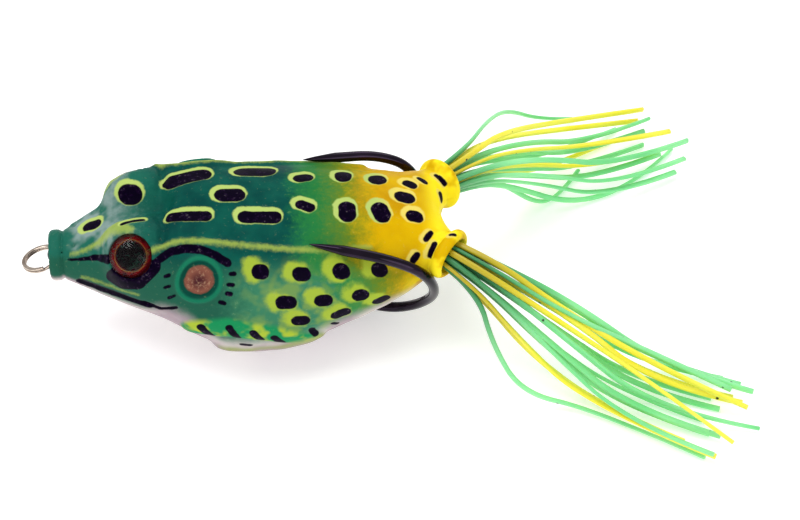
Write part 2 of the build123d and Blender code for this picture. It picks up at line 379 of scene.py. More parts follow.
def splineLine(name, route):
    # the smooth line of a route: a NURBS curve with the route's points as its control points
    data = bpy.data.curves.new(name, "CURVE")
    data.dimensions = "3D"
    data.resolution_u = skirtSettings["curveSteps"]
    spline = data.splines.new("NURBS")
    spline.points.add(len(route) - 1)
    for point, place in zip(spline.points, route):
        point.co = (*(place * mm), 1)
    spline.order_u = skirtSettings["curveOrder"]
    spline.use_endpoint_u = True
    holder = addObject(name, data)
    bpy.context.view_layer.update()
    line = bpy.data.meshes.new_from_object(holder)
    points = np.array([vertex.co for vertex in line.vertices]) / mm
    bpy.data.objects.remove(holder)
    bpy.data.meshes.remove(line)
    return points


def strandMesh(name, line, twist, ahead):
    # a rounded flat strip carried along the line and turning slowly about it, cut off square
    sizes = skirtSettings
    length = np.concatenate([[0], np.cumsum(np.linalg.norm(np.diff(line, axis=0), axis=1))])
    tangent, across, up = frameAlong(line, (0, 0, 1))
    turn = twist + length[:, None] * sizes["turn"]
    side = across * np.cos(turn) + up * np.sin(turn)
    top = np.cross(tangent, side)
    radius = sizes["diameter"] / 2
    outline = squareRound(sizes["corners"], sizes["squareness"], radius, radius * sizes["flatness"])
    body = carried(line, side, top, outline, np.ones(len(line)))
    edge = tangent * sizes["endEdge"]
    small = np.array([sizes["endScale"]])
    start = carried(line[:1] - edge[:1], side[:1], top[:1], outline, small)
    end = carried(line[-1:] + edge[-1:], side[-1:], top[-1:], outline, small)
    points, faces = skin(np.concatenate([start, body, end]))
    along = np.concatenate([[0], length, [length[-1]]]) + ahead
    along = np.concatenate([np.repeat(along, sizes["corners"]), along[[0, -1]]])
    return makeMesh(name, points, faces, {"along": along}), length[-1]


def siliconeMaterial(name, body, root, pale):
    # clear-tinted silicone: painted shade darkens the strips near the root, where they crowd; black flecks
    # in it
    paint = Paint(
        name, Roughness=0.34, IOR=1.41, Subsurface_Weight=0.35, Subsurface_Scale=0.6 * mm,
        Subsurface_Radius=(1.0, 1.0, 0.6))
    streak = paint.noise(90, 2)
    tint = paint.layer(body, streak, 0.3, 0.7, pale)
    # painted shade: the root colour in full up to 4 mm along the strip, gone by 20 mm
    tint = paint.layer(tint, paint.attribute("along"), 20, 4, root)
    cells = paint.node("ShaderNodeTexVoronoi", None, {"Vector": paint.place, "Scale": 1200.0})
    near = paint.step(cells.outputs["Distance"], 0.32, 0.2)
    chosen = paint.node("ShaderNodeSeparateColor", None, {"Color": cells.outputs["Color"]})
    rare = paint.step(chosen.outputs[0], 0.972, 0.976)
    paint.colour(paint.mix(paint.product(near, rare), tint, colour(38, 42, 30)))
    paint.roughness(streak, 0.16, 0.28)
    paint.bump(paint.noise(1600, 1), 0.1, 0.04)
    return paint.material


def makeSkirts():
    # the second colour of each is the painted shade at the strips' roots
    green = siliconeMaterial(
        "mint_silicone", colour(118, 214, 138), colour(60, 132, 84), colour(148, 230, 160))
    yellow = siliconeMaterial(
        "yellow_silicone", colour(242, 226, 50), colour(182, 164, 36), colour(250, 240, 92))
    skirts = (
        ("left_green", -1, leftGreen, "left_leg", green, "green_strands"),
        ("left_yellow", -1, leftYellow, "left_leg", yellow, "yellow_strands"),
        ("right_green", 1, rightGreen, "right_leg", green, "green_strands"),
        ("right_yellow", 1, rightYellow, "right_leg", yellow, "yellow_strands"),
    )
    for name, side, routes, body, material, slot in skirts:
        for number, route in enumerate(routes, 1):
            points = strandRoute(side, route)
            line = splineLine(f"{name}_line_{number}", points)
            piece, length = strandMesh(
                f"{name}_strip_{number}", line,
                number * skirtSettings["firstTurn"], skirtSettings["rootShade"] * (1 + side))
            finish(piece, material)
            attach(piece, body)
            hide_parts(f"{name}_strand_{number}")
    print("skirts made,", sum(len(skirt[2]) for skirt in skirts), "strips")


makeSkirts()

# ---- frog skin

bodySettings = {
    "cell": 0.25,             # size of the mesh's cells
    "cupRadius": 3.42,
    "cupFront": 0.25,
    "cupLength": 2.1,
    "cupBore": 2.7,
    "cupDepth": 3.8,
    "cupRound": 0.7,
    "bumpRadius": 4.2,
    "bumpCentre": (11.85, 4.95, 16.95),      # behind the nose, outwards, up
    "lidRadius": 4.3,
    "lidCentre": (12.1, 4.4, 17.8),
    "valley": (5.5, 14.5, 22.3, 2.7),     # from, to, height and radius of the dip between the bumps
    "shoulderFrom": (13.6, 4.9, 16.6),    # the full shoulder behind each eye bump
    "shoulderTo": (21.5, 5.6, 16.3),
    "shoulderRadius": 4.85,
    "eyeDirection": (-0.12, 0.72, 0.68),
    "eyeRadius": 2.93,
    "eyeSeat": 2.75,
    "neckRadius": 2.62,
    "beadRadius": 0.9,
    "beadRing": 2.65,
    "socketBore": 2.4,
    "slotStart": 34.8,
    "slotEnd": 42.7,
    "slotHalf": 1.9,
    "slotTop": 5.2,
    "tailEnd": 52.3,
    "boxLow": (noseX - 1, -15, -1.5),     # room that the mesh is looked for in
    "boxHigh": (32, 15, 23),
    "blend": {                # how softly each part runs into the rest
        "tail": 2.2, "nose": 0.3, "lid": 0.6, "bump": 1.3, "valley": 1.2, "shoulder": 1.6, "belly": 0.4,
        "neck": 2.6, "bead": 0.5, "bore": 0.25, "collar": 0.18, "cup": 0.3, "seat": 0.12, "slot": 0.5,
    },
}

# distance behind the nose, half width, half height and height of the centre of each section
bodySections = np.array([
    (1.9, 3.15, 3.1, 12.9),
    (4.2, 4.5, 4.0, 12.95),
    (7.0, 6.5, 5.1, 13.3),
    (11.0, 9.0, 6.7, 13.7),
    (15.0, 10.8, 8.1, 13.5),
    (19.0, 12.3, 9.9, 12.5),
    (23.0, 13.2, 11.2, 11.3),
    (28.0, 13.4, 11.25, 11.0),
    (33.0, 12.9, 11.0, 11.05),
    (38.0, 11.7, 9.9, 11.9),
    (43.0, 10.3, 8.7, 12.7),
    (47.0, 8.9, 7.3, 13.5),
    (50.0, 7.2, 5.6, 14.4),
    (51.8, 5.4, 3.8, 15.0),
    (53.5, 3.6, 2.4, 15.4),
])


def smoothLine(at, places, values):
    # cubic through the given values with slopes taken from their neighbours
    slopes = np.gradient(values, places)
    span = np.clip(np.searchsorted(places, at) - 1, 0, len(places) - 2)
    width = places[span + 1] - places[span]
    t = np.clip((at - places[span]) / width, 0, 1)
    return (
        (1 + 2 * t) * (1 - t) ** 2 * values[span]
        + t * (1 - t) ** 2 * width * slopes[span]
        + t * t * (3 - 2 * t) * values[span + 1]
        + t * t * (t - 1) * width * slopes[span + 1]
    )


def section(behindNose):
    # half width, half height and centre height of the body there
    places = bodySections[:, 0]
    at = np.clip(behindNose, places[0], places[-1])
    return [smoothLine(at, places, bodySections[:, k]) for k in (1, 2, 3)]


def softMin(a, b, blend):
    # the smaller of two distances, with a fillet about as wide as blend
    near = np.maximum(blend - np.abs(a - b), 0) / blend
    return np.minimum(a, b) - near * near * blend / 4


def softMax(a, b, blend):
    return -softMin(-a, -b, blend)


def roundedCylinder(radial, along, radius, start, end, rounding):
    # distance to a cylinder with rounded edges
    past = np.abs(along - (start + end) / 2) - (end - start) / 2
    q = np.stack([radial - radius + rounding, past + rounding])
    return np.linalg.norm(np.maximum(q, 0), axis=0) + np.minimum(q.max(0), 0) - rounding


def folded(points, shift=0.0):
    # the points with both sides laid on one, and with x counted from the shift
    return np.stack([points[:, 0] - shift, np.abs(points[:, 1]), points[:, 2]], 1)


def fromAxis(points, start, axis):
    # distance along an axis, and distance out from it
    local = points - start
    along = local @ axis
    return along, np.linalg.norm(local - along[:, None] * axis, axis=1)


def bodyField(points):
    # distance to the skin, negative inside: elliptical sections, a beaded cup on the nose, two eye
    # bumps with flat seats, two necked leg sockets with rolled rims, and the hook's slot in the belly
    sizes = bodySettings
    blend = sizes["blend"]
    place = folded(points, noseX)
    s, away, z = place.T
    width, height, centre = section(s)
    rise = z - centre
    k0 = np.sqrt((away / width) ** 2 + (rise / height) ** 2)
    k1 = np.sqrt((away / width ** 2) ** 2 + (rise / height ** 2) ** 2)
    field = np.where(k1 > 1e-6, k0 * (k0 - 1) / np.maximum(k1, 1e-6), -np.minimum(width, height))
    field = softMax(field, s - sizes["tailEnd"], blend["tail"])
    field = softMax(field, 2.15 - s, blend["nose"])
    bump = np.array(sizes["bumpCentre"])
    sphere = np.linalg.norm(place - bump, axis=1) - sizes["bumpRadius"]
    lid = np.linalg.norm(place - sizes["lidCentre"], axis=1) - sizes["lidRadius"]
    field = softMin(field, softMin(sphere, lid, blend["lid"]), blend["bump"])
    start, end, up, radius = sizes["valley"]
    past = np.maximum(np.abs(s - (start + end) / 2) - (end - start) / 2, 0)
    field = softMax(field, radius - np.linalg.norm([past, away, z - up], axis=0), blend["valley"])
    first = np.array(sizes["shoulderFrom"])
    run = np.array(sizes["shoulderTo"]) - first
    local = place - first
    part = np.clip(local @ run / (run @ run), 0, 1)
    shoulder = np.linalg.norm(local - part[:, None] * run, axis=1) - sizes["shoulderRadius"]
    field = softMin(field, shoulder, blend["shoulder"])
    field = softMax(field, -z + 0.02, blend["belly"])
    # leg sockets
    mouth, axis, _, _ = socketAxes(1)
    along, radial = fromAxis(folded(points), mouth, axis)
    neck = roundedCylinder(radial, along, sizes["neckRadius"], -6.5, -0.5, 0.3)
    bead = np.hypot(radial - sizes["beadRing"], along + sizes["beadRadius"])
    field = softMin(field, neck, blend["neck"])
    field = softMin(field, bead - sizes["beadRadius"], blend["bead"])
    flare = 0.28 * np.clip(1 + along / 1.6, 0, 1) ** 2
    bore = np.maximum(radial - sizes["socketBore"] - flare, -along - 7.0)
    field = softMax(field, -bore, blend["bore"])
    # nose cup
    out = np.hypot(away, z - cupHeight)
    collar = roundedCylinder(
        out, s, sizes["cupRadius"], sizes["cupFront"], sizes["cupLength"], sizes["cupRound"])
    field = softMin(field, collar, blend["collar"])
    field = softMax(field, -np.maximum(out - sizes["cupBore"], s - sizes["cupDepth"]), blend["cup"])
    # eye seats
    depth, outward = fromAxis(place, bump, unit(np.array(sizes["eyeDirection"])))
    seat = np.maximum(outward - sizes["eyeRadius"], sizes["eyeSeat"] - depth)
    field = softMax(field, -seat, blend["seat"])
    # slot under the tail
    middle = (sizes["slotStart"] + sizes["slotEnd"]) / 2
    half = (sizes["slotEnd"] - sizes["slotStart"]) / 2 - sizes["slotHalf"]
    slot = np.hypot(np.maximum(np.abs(s - middle) - half, 0), away) - sizes["slotHalf"]
    return softMax(field, -np.maximum(slot, z - sizes["slotTop"]), blend["slot"])


def surfaceNet(values):
    # one point in each cell that the surface crosses, at the mean of its crossings of the cell's edges,
    # and one quad round each crossed edge, facing the positive side
    quads = []
    crossings = []
    for axis in range(3):
        one, two = (axis + 1) % 3, (axis + 2) % 3
        near = values[tuple(slice(0, -1) if k == axis else slice(None) for k in range(3))]
        far = values[tuple(slice(1, None) if k == axis else slice(None) for k in range(3))]
        at = np.argwhere((near < 0) != (far < 0))
        a, b = near[tuple(at.T)], far[tuple(at.T)]
        where = at.astype(float)
        where[:, axis] += a / (a - b)
        corners = []
        for stepOne, stepTwo in ((-1, -1), (0, -1), (0, 0), (-1, 0)):
            cell = at.copy()
            cell[:, one] += stepOne
            cell[:, two] += stepTwo
            corners.append(np.ravel_multi_index(cell.T, values.shape))
        faces = np.stack(corners, 1)
        faces[a >= 0] = faces[a >= 0][:, ::-1]
        quads.append(faces)
        crossings.append(np.repeat(where[:, None], 4, axis=1))
    quads = np.concatenate(quads)
    crossings = np.concatenate(crossings).reshape(-1, 3)
    cells, index = np.unique(quads.ravel(), return_inverse=True)
    count = np.bincount(index, minlength=len(cells))
    points = np.stack([np.bincount(index, crossings[:, k], len(cells)) / count for k in range(3)], 1)
    return points, index.reshape(-1, 4)


def fieldSlope(points):
    reach = 0.02
    steps = np.eye(3) * reach
    return np.stack([bodyField(points + step) - bodyField(points - step) for step in steps], 1) / (2 * reach)


def relaxed(points, quads, rounds):
    # each point moves halfway to the mean of its neighbours, then back onto the surface
    ends = np.concatenate([quads[:, [k, (k + 1) % 4]] for k in range(4)])
    count = np.bincount(ends[:, 0], minlength=len(points))
    for _ in range(rounds):
        mean = np.stack([
            np.bincount(ends[:, 0], points[ends[:, 1], k], len(points)) / count for k in range(3)
        ], 1)
        points = (points + mean) / 2
        points = onSurface(points, 1)
    return points


def onSurface(points, rounds):
    # each point moves along the field's slope to where the field is nought
    for _ in range(rounds):
        slope = fieldSlope(points)
        step = bodyField(points) / np.maximum((slope ** 2).sum(1), 0.2)
        points = points - slope * np.clip(step, -0.25, 0.25)[:, None]
    return points


def surfacePlace(points):
    # distance behind the nose, distance round the skin from the middle of the back, plus towards -Y,
    # and how far round that is, from 0 on the back to 1 under the belly
    skinLength, stationSteps, angleSteps = 54, 108, 120
    s = points[:, 0] - noseX
    angles = np.linspace(0, math.pi, angleSteps + 1)
    width, height, _ = section(np.linspace(0, skinLength, stationSteps + 1))
    pace = np.hypot(width[:, None] * np.cos(angles), height[:, None] * np.sin(angles))
    arc = np.cumsum((pace[:, 1:] + pace[:, :-1]) / 2, axis=1) * (angles[1] - angles[0])
    arc = np.concatenate([np.zeros((stationSteps + 1, 1)), arc], axis=1)
    width, height, centre = section(s)
    angle = np.arctan2(np.abs(points[:, 1]) / width, (points[:, 2] - centre) / height)
    u = np.clip(s / skinLength * stationSteps, 0, stationSteps - 1.001)
    v = np.clip(angle / math.pi * angleSteps, 0, angleSteps - 0.001)
    i, j = u.astype(int), v.astype(int)
    fu, fv = u - i, v - j
    t = (
        arc[i, j] * (1 - fu) * (1 - fv) + arc[i + 1, j] * fu * (1 - fv)
        + arc[i, j + 1] * (1 - fu) * fv + arc[i + 1, j + 1] * fu * fv
    )
    return s, t * -np.sign(points[:, 1]), angle / math.pi


# what is moulded and painted on the skin: places are (behind the nose, round from the middle of the
# back) in millimetres; both sides are alike
skinFeatures = {
    "fold": [(13.6, 7.2), (17.9, 7.0), (24.3, 7.9), (32.0, 8.7), (37.1, 8.8), (42.3, 8.4)],
    "crease": [(15.4, 2.6), (15.9, 4.6), (15.6, 6.4)],
    "mouth": [(4.1, 7.4), (6.9, 9.8), (10.8, 13.2), (13.4, 15.2)],
    "lip": [(12.6, 14.3), (14.7, 15.9), (16.8, 15.9)],
    "lipPatch": [(4.6, 6.7), (6.9, 8.5), (9.4, 10.6), (12.0, 12.4)],
    "eyeLine": [(2.9, 3.5), (5.9, 4.7), (8.6, 5.9)],
    "earLine": [(13.8, 9.1), (15.2, 8.4), (16.8, 8.0), (18.6, 8.0), (20.6, 8.4), (22.4, 9.2), (23.9, 10.3)],
    "brow": [(3.5, 3.0), (5.3, 3.4), (7.2, 3.4), (8.5, 2.9), (10.0, 3.1), (11.8, 4.2)],
    "underEye": [(9.0, 8.0), (10.4, 9.7), (12.4, 10.4), (14.3, 9.2)],
    "ear": (20.1, 12.2),
    "nostril": (3.7, 1.9),
    "arm": [(19.0, 19.6), (23.6, 19.4), (29.2, 20.8), (34.4, 23.4)],
    "forearm": [(34.2, 24.4), (28.6, 26.2), (22.6, 26.0)],
    "thigh": [(40.4, 13.0), (45.0, 13.4), (49.4, 11.6)],
    "armRadius": 1.6,
    "forearmRadius": 1.2,
}
mouldedLines = [              # which line, its width, its height
    ("fold", 0.7, 0.42), ("crease", 0.6, -0.65), ("mouth", 0.35, -0.3), ("lip", 0.35, -0.3),
    ("brow", 0.7, 0.22), ("thigh", 2.6, 0.35),
]
darkLines = [("earLine", 0.5), ("underEye", 1.0), ("mouth", 0.5), ("lip", 0.28)]      # half widths

# dark spots: behind the nose, round from the back (plus is the left side), length, width and tilt
backSpots = [
    (28.0, -5.0, 5.6, 2.5, 0), (34.3, -3.0, 2.7, 1.9, -18), (39.6, -3.4, 2.3, 2.8, 0),
    (44.1, -2.7, 2.5, 2.5, 0), (28.3, 4.1, 5.7, 1.8, 2), (34.3, 2.5, 2.7, 1.5, 25),
    (39.7, 3.4, 2.3, 3.2, 0), (44.1, 3.4, 2.3, 3.1, -18), (24.6, 0.3, 4.1, 2.4, 0),
    (47.4, 0.7, 2.8, 1.9, 15), (48.5, 3.7, 2.3, 1.6, 8), (48.3, -2.0, 2.2, 1.3, 32),
]
headSpots = [(6.3, 0, 2.6, 1.6, 14)]
sideSpots = [
    (28.0, 11.5, 2.3, 2.0, 0), (33.3, 11.9, 2.4, 1.9, 0), (38.4, 11.5, 2.3, 2.1, 0),
    (43.4, 11.2, 2.2, 1.9, 0), (31.1, 15.7, 2.8, 1.9, 0), (36.0, 15.6, 2.5, 1.8, 0),
    (40.8, 14.9, 2.3, 2.0, -10), (32.9, 18.7, 2.5, 1.7, 0), (38.2, 18.2, 2.9, 1.7, -22),
    (43.6, 16.2, 2.6, 1.5, -32),
]
armStreaks = [
    (20.7, 20.0, 3.4, 1.1, 58), (24.1, 20.0, 3.2, 1.0, 64), (27.1, 20.8, 3.0, 1.0, 62),
    (29.8, 21.9, 2.8, 1.1, 58), (25.6, 24.0, 1.8, 0.7, 10), (34.5, 21.4, 2.0, 0.9, 70),
    (37.4, 20.6, 1.3, 0.7, 40),
]
earDashes = [
    (16.0, 10.8, 1.0, 0.5, 0), (15.9, 12.3, 1.1, 0.5, 0), (16.4, 13.9, 1.2, 0.5, -14),
    (24.4, 11.7, 1.0, 0.55, 0), (24.1, 13.1, 1.1, 0.6, 8), (23.8, 14.3, 1.0, 0.6, 14),
    (22.9, 15.5, 1.1, 0.6, 24),
]

# spots on the eyelids and shoulders, then on the tail and the leg sockets: place in millimetres,
# length, width and the way each one runs
shoulderSpots = [
    ((-14.4, 2.3, 21.0), 3.3, 2.7, (0.95, -0.3, 0.07)),
    ((-14.0, -4.0, 22.0), 3.4, 0.6, (0.97, 0.2, 0.0)),
    ((-6.9, 3.9, 22.0), 6.7, 2.6, (0.97, 0.25, 0.04)),
    ((-6.8, -3.5, 22.0), 6.1, 1.6, (0.99, -0.08, 0.0)),
]
tailSpots = [
    ((24.2, -6.2, 18.8), 1.9, 0.8, (0.64, 0.54, 0.54)),
    ((24.5, -7.7, 17.5), 2.5, 0.8, (0.50, 0.61, 0.61)),
    ((22.3, -7.9, 16.6), 1.9, 0.9, (0.50, 0.61, 0.61)),
    ((26.5, 1.2, 15.6), 2.0, 0.8, (0.57, -0.58, -0.58)),
    ((24.2, 3.4, 19.8), 1.9, 1.0, (0.57, -0.58, -0.58)),
    ((26.8, 4.9, 18.3), 2.4, 0.8, (0.64, -0.54, -0.54)),
    ((26.6, 2.4, 17.4), 1.7, 1.0, (0.42, -0.64, -0.64)),
    ((27.3, -6.8, 19.3), 1.1, 0.5, (1.0, 0.0, 0.0)),
    ((23.8, 6.2, 19.6), 1.3, 0.6, (0.80, -0.42, -0.42)),
]


def spaceDistance(points, spots, shift=(0, 0, 0), grow=0.0):
    # distance in space to the edge of the nearest of those spots, negative inside
    best = np.full(len(points), 99.0)
    for place, length, width, way in spots:
        local = points - place - shift
        way = unit(np.array(way))
        along = np.clip(local @ way, (width - length) / 2, (length - width) / 2)
        best = np.minimum(best, np.linalg.norm(local - along[:, None] * way, axis=1) - width / 2 - grow)
    return best


def lineDistance(s, t, line):
    # distance to the nearest of a line's straight runs
    best = np.full(len(s), 99.0)
    for (s0, t0), (s1, t1) in zip(line, line[1:]):
        ds, dt = s1 - s0, t1 - t0
        along = np.clip(((s - s0) * ds + (t - t0) * dt) / (ds * ds + dt * dt + 1e-9), 0, 1)
        best = np.minimum(best, np.hypot(s - s0 - along * ds, t - t0 - along * dt))
    return best


def spotDistance(s, t, spots, shift=(0, 0), grow=0.0, bothSides=False):
    # distance to the edge of the nearest spot, negative inside; each is a run with round ends
    best = np.full(len(s), 99.0)
    for place, turn, length, width, tilt in spots:
        if width > length:
            length, width, tilt = width, length, tilt + 90
        half = (length - width) / 2
        ds, dt = math.cos(math.radians(tilt)) * half, math.sin(math.radians(tilt)) * half
        run = [(place + shift[0] - ds, turn + shift[1] - dt), (place + shift[0] + ds, turn + shift[1] + dt)]
        best = np.minimum(best, lineDistance(s, np.abs(t) if bothSides else t, run) - width / 2 - grow)
    return best


def featureDistance(s, t, name):
    # distance to one of the skin's lines, the same on both sides
    return lineDistance(s, np.abs(t), skinFeatures[name])


def earDistance(s, t):
    return np.hypot(s - skinFeatures["ear"][0], np.abs(t) - skinFeatures["ear"][1])


def limbDistance(s, t):
    # distance to the edge of the folded arm, negative on it
    return np.minimum(
        featureDistance(s, t, "arm") - skinFeatures["armRadius"],
        featureDistance(s, t, "forearm") - skinFeatures["forearmRadius"])


def ridge(distance, width, height):
    # a rounded line of that height, or a groove where it is negative
    return height * np.exp(-(distance / width) ** 2)


def relief(s, t, points):
    # height of the moulded features above the plain skin
    away = np.abs(t)
    height = sum(ridge(featureDistance(s, t, name), width, tall) for name, width, tall in mouldedLines)
    ear = earDistance(s, t)
    height += ridge(ear - 2.75, 0.4, 0.38)
    height += 0.5 * np.clip(1 - (ear / 1.95) ** 2, 0, 1) ** 0.7
    height -= ridge(ear - 2.1, 0.3, 0.12)
    nostril = skinFeatures["nostril"]
    height -= ridge(np.hypot(s - nostril[0], away - nostril[1]), 0.3, 0.35)
    height += 0.55 / (1 + np.exp(limbDistance(s, t) / 0.25))
    ripple = np.sin(s * 1.3 + away * 0.6) * np.sin(away * 0.9 - s * 0.4)
    height += 0.04 * ripple * np.clip((s - 16) / 6, 0, 1)
    low = np.clip((points[:, 2] - 0.2) / 1.2, 0, 1)       # nothing is moulded under the resting belly
    front = np.clip((s - 2.6) / 0.8, 0, 1)
    back = np.clip((51 - s) / 1.5, 0, 1)
    return height * low * front * back


def darkDistance(s, t, points):
    # distance to the edge of the dark spots and lines, negative inside them
    parts = [spotDistance(s, t, backSpots), spotDistance(s, t, headSpots)]
    parts += [spotDistance(s, t, spots, bothSides=True) for spots in (sideSpots, armStreaks, earDashes)]
    parts += [featureDistance(s, t, name) - half for name, half in darkLines]
    parts.append(featureDistance(s, t, "eyeLine") - 0.1 - 0.07 * (s - 2.9))      # wider towards the eye
    parts.append(spaceDistance(points, tailSpots + shoulderSpots))
    return np.minimum.reduce(parts)


def rimDistance(s, t, points):
    # the same for the pale rims, which stand up and forwards of their spots
    return np.minimum.reduce([
        spotDistance(s, t, backSpots, (-0.2, -0.34), 0.42),
        spotDistance(s, t, headSpots, (-0.2, -0.3), 0.5),
        spaceDistance(points, shoulderSpots, (-0.05, 0.35, 0.1), 0.36),
        spaceDistance(points, tailSpots, (-0.3, 0, 0.1), 0.22),
    ])


def foldDistance(s, t):
    # the same for the pale lines: the fold along the back, the brow and the upper lip
    outer = np.abs(t) - 1.3 * (t < 0)
    browWidth = np.interp(s, [3.5, 6.5, 8.5, 10.0, 12.0], [0.0, 0.12, 0.65, 0.6, 0.1])
    return np.minimum.reduce([
        featureDistance(s, t, "fold") - 0.16,
        lineDistance(s, outer, skinFeatures["brow"]) - browWidth,
        featureDistance(s, t, "lipPatch") + 0.05,
    ])


def makeSkin():
    cell = bodySettings["cell"]
    low = np.array(bodySettings["boxLow"])
    counts = np.ceil((np.array(bodySettings["boxHigh"]) - low) / cell).astype(int)
    axes = [low[k] + np.arange(counts[k]) * cell for k in range(3)]
    values = np.empty(counts)
    plane = np.stack(np.meshgrid(axes[1], axes[2], indexing="ij"), -1).reshape(-1, 2)
    for k, x in enumerate(axes[0]):
        slab = np.concatenate([np.full((len(plane), 1), x), plane], axis=1)
        values[k] = bodyField(slab).reshape(counts[1], counts[2])
    points, quads = surfaceNet(values)
    points = onSurface(low + points * cell, 3)
    points = relaxed(points, quads, 3)
    s, t, around = surfacePlace(points)
    direction = unit(np.array(bodySettings["eyeDirection"]))
    depth, fromEye = fromAxis(folded(points, noseX), np.array(bodySettings["bumpCentre"]), direction)
    fromEye += 9 * (depth < 1.2)          # the far side of the bump isn't near the eye
    mouth, axis, _, _ = socketAxes(1)
    sleeve, fromSocket = fromAxis(folded(points), mouth, axis)
    attributes = {
        "behind": s,
        "around": around,
        "dark": darkDistance(s, t, points),
        "rim": rimDistance(s, t, points),
        "halo": spotDistance(s, t, sideSpots, (-0.75, -0.35), 0.0, bothSides=True),
        "fold": foldDistance(s, t),
        "ear": earDistance(s, t),
        "limb": limbDistance(s, t),
        "sleeve": sleeve,
        "inBore": fromSocket + 9 * (sleeve < -7.5),
        "inCup": np.hypot(points[:, 1], points[:, 2] - cupHeight) + np.maximum(s - 4, 0) * 4,
    }
    raised = relief(s, t, points) * np.clip((fromEye - 3.0) / 0.6, 0, 1)      # flat round the eye
    points = points + unit(fieldSlope(points)) * raised[:, None]
    points[:, 2] = np.maximum(points[:, 2], 0)
    piece = makeMesh("frog_skin", points, [quads], attributes)
    print("frog skin made,", len(quads), "quads")
    return piece


skinColours = {
    "back": (20, 86, 74),
    "backDeep": (12, 66, 62),
    "crown": (36, 100, 84),
    # the head's grey is the colour of a painted highlight
    "head": (146, 164, 162),
    "jowl": (38, 90, 72),
    "flank": (60, 122, 92),
    "flankPale": (128, 156, 72),
    "lime": (164, 184, 58),
    "foldTone": (156, 176, 78),
    "rim": (174, 196, 106),
    "tailRim": (226, 206, 96),
    "grass": (44, 124, 58),
    "olive": (104, 126, 34),
    "gold": (214, 172, 12),
    "goldDeep": (190, 142, 12),
    "lemon": (252, 228, 40),
    "belly": (206, 198, 192),
    "bellyShade": (164, 146, 154),
    "spot": (14, 0, 26),
    "spotSheen": (38, 14, 54),
    "armGreen": (32, 136, 84),
    "armLow": (150, 158, 100),
    "earRing": (30, 112, 84),
    "earChannelShade": (16, 72, 60),
    "copper": (128, 80, 66),
    "copperPitShade": (72, 38, 42),
    "copperGlint": (196, 150, 120),
    "speck": (200, 210, 150),
}


